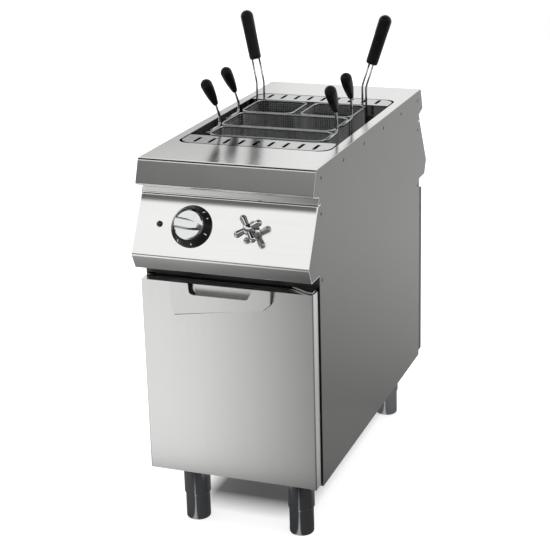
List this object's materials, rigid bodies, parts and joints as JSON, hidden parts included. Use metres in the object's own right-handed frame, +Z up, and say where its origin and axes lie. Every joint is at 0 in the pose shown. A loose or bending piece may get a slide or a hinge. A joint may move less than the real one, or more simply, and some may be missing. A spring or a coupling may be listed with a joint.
{
  "type": "pasta cooker",
  "caption": "Floor standing steel pasta cooker: boiling well with lift-out wire baskets, sloped control panel with knob and tap, cupboard with hinged door, round adjustable feet.",
  "frame": {"origin": "on the floor under the middle of the cabinet", "axes": "+Z up, front of the cooker towards -Y, +X to the viewer's right when facing the door"},
  "size_m": [0.4039, 0.9421, 1.0867],
  "materials": {
    "top_steel": "bright satin",
    "plate_steel": "bright satin",
    "panel_steel": "bright satin",
    "side_steel": "dull satin",
    "rear_dark": "dark grey",
    "rail_dark": "darkened",
    "well_steel": "satin",
    "hinge_steel": "bright",
    "door_steel": "satin",
    "inner_steel": "satin",
    "mesh_steel": "woven mesh",
    "wire_steel": "polished wire",
    "grip_black": "satin black",
    "bezel_black": "black with white marks",
    "knob_chrome": "bright",
    "tap_chrome": "bright",
    "lamp_dark": "dark lens, unlit",
    "leg_charcoal": "gloss charcoal",
    "gasket_rubber": "matt black",
    "valve_brass": "plain",
    "pipe_copper": "plain copper",
    "heater_dark": "heat darkened steel",
    "lever_red": "red dipped",
    "electric_black": "plain",
    "screw_steel": "plain"
  },
  "bodies": {
    "cabinet": {"worktop": "top_steel", "drip_rails": "panel_steel", "control_panel": "panel_steel", "rear_cowl": "panel_steel", "side_panel_left": "side_steel", "side_panel_right": "side_steel", "side_screws": "screw_steel", "base_panel": "inner_steel", "back_panel": "inner_steel", "rear_cover": "rear_dark", "cross_rails": "rail_dark", "well": "well_steel", "false_bottom": "inner_steel", "heating_elements": "heater_dark", "knob_bezel": "bezel_black", "heat_regulator": "electric_black", "pilot_lens": "lamp_dark", "pilot_body": "electric_black", "tap_bonnet": "tap_chrome", "tap_body": "valve_brass", "water_pipe": "pipe_copper", "fill_pipe": "pipe_copper", "overflow_pipe": "inner_steel", "drain_pipes": "inner_steel", "drain_valve": "valve_brass", "hinge_brackets": "hinge_steel", "hinge_pins": "hinge_steel", "magnet_catch": "electric_black", "leg_sockets": "leg_charcoal", "leg_bolts": "screw_steel", "electrics": "electric_black", "supply_conduit": "electric_black", "cable_gland": "electric_black"},
    "door": {"door_skin": "door_steel", "door_liner": "inner_steel", "door_handle": "door_steel", "door_bushes": "electric_black", "door_gasket": "gasket_rubber"},
    "front_plate": {"front_drain_plate": "plate_steel"},
    "rear_plate": {"rear_drain_plate": "plate_steel"},
    "front_wide": {"front_basket": "mesh_steel", "front_basket_frame": "wire_steel", "front_basket_grips": "grip_black"},
    "middle_wide": {"middle_basket": "mesh_steel", "middle_basket_frame": "wire_steel", "middle_basket_grips": "grip_black"},
    "left_small": {"left_basket": "mesh_steel", "left_basket_frame": "wire_steel", "left_basket_grip": "grip_black"},
    "right_small": {"right_basket": "mesh_steel", "right_basket_frame": "wire_steel", "right_basket_grip": "grip_black"},
    "knob": {"knob_cap": "knob_chrome", "knob_spindle": "valve_brass"},
    "tap": {"tap_handle": "tap_chrome"},
    "lever": {"drain_lever": "lever_red"},
    "foot_fl": {"foot_front_left": "leg_charcoal"},
    "foot_fr": {"foot_front_right": "leg_charcoal"},
    "foot_rl": {"foot_rear_left": "leg_charcoal"},
    "foot_rr": {"foot_rear_right": "leg_charcoal"}
  },
  "joints": [
    {"name": "door_hinge", "type": "hinge", "parent": "cabinet", "child": "door", "pos_m": [0.187, -0.419, 0.382], "axis": [0, 0, 1], "range_deg": [0, 110]},
    {"name": "front_plate_lift", "type": "slide", "parent": "cabinet", "child": "front_plate", "axis": [0, 0, 1], "range_m": [0, 0.12]},
    {"name": "rear_plate_lift", "type": "slide", "parent": "cabinet", "child": "rear_plate", "axis": [0, 0, 1], "range_m": [0, 0.05]},
    {"name": "front_basket_lift", "type": "slide", "parent": "cabinet", "child": "front_wide", "axis": [0, 0, 1], "range_m": [0, 0.26]},
    {"name": "middle_basket_lift", "type": "slide", "parent": "cabinet", "child": "middle_wide", "axis": [0, 0, 1], "range_m": [0, 0.26]},
    {"name": "left_basket_lift", "type": "slide", "parent": "cabinet", "child": "left_small", "axis": [0, 0, 1], "range_m": [0, 0.26]},
    {"name": "right_basket_lift", "type": "slide", "parent": "cabinet", "child": "right_small", "axis": [0, 0, 1], "range_m": [0, 0.26]},
    {"name": "knob_turn", "type": "hinge", "parent": "cabinet", "child": "knob", "pos_m": [-0.072, -0.43211, 0.73357], "axis": [0, -0.8717, 0.49], "range_deg": [-270, 0]},
    {"name": "tap_turn", "type": "hinge", "parent": "cabinet", "child": "tap", "pos_m": [0.066, -0.43211, 0.73357], "axis": [0, -0.8717, 0.49], "range_deg": [0, 180]},
    {"name": "drain_lever_turn", "type": "hinge", "parent": "cabinet", "child": "lever", "pos_m": [0.118, -0.11, 0.44], "axis": [0, -1, 0], "range_deg": [0, 90]},
    {"name": "foot_front_left_screw", "type": "slide", "parent": "cabinet", "child": "foot_fl", "axis": [0, 0, -1], "range_m": [0, 0.03]},
    {"name": "foot_front_right_screw", "type": "slide", "parent": "cabinet", "child": "foot_fr", "axis": [0, 0, -1], "range_m": [0, 0.03]},
    {"name": "foot_rear_left_screw", "type": "slide", "parent": "cabinet", "child": "foot_rl", "axis": [0, 0, -1], "range_m": [0, 0.03]},
    {"name": "foot_rear_right_screw", "type": "slide", "parent": "cabinet", "child": "foot_rr", "axis": [0, 0, -1], "range_m": [0, 0.03]}
  ]
}
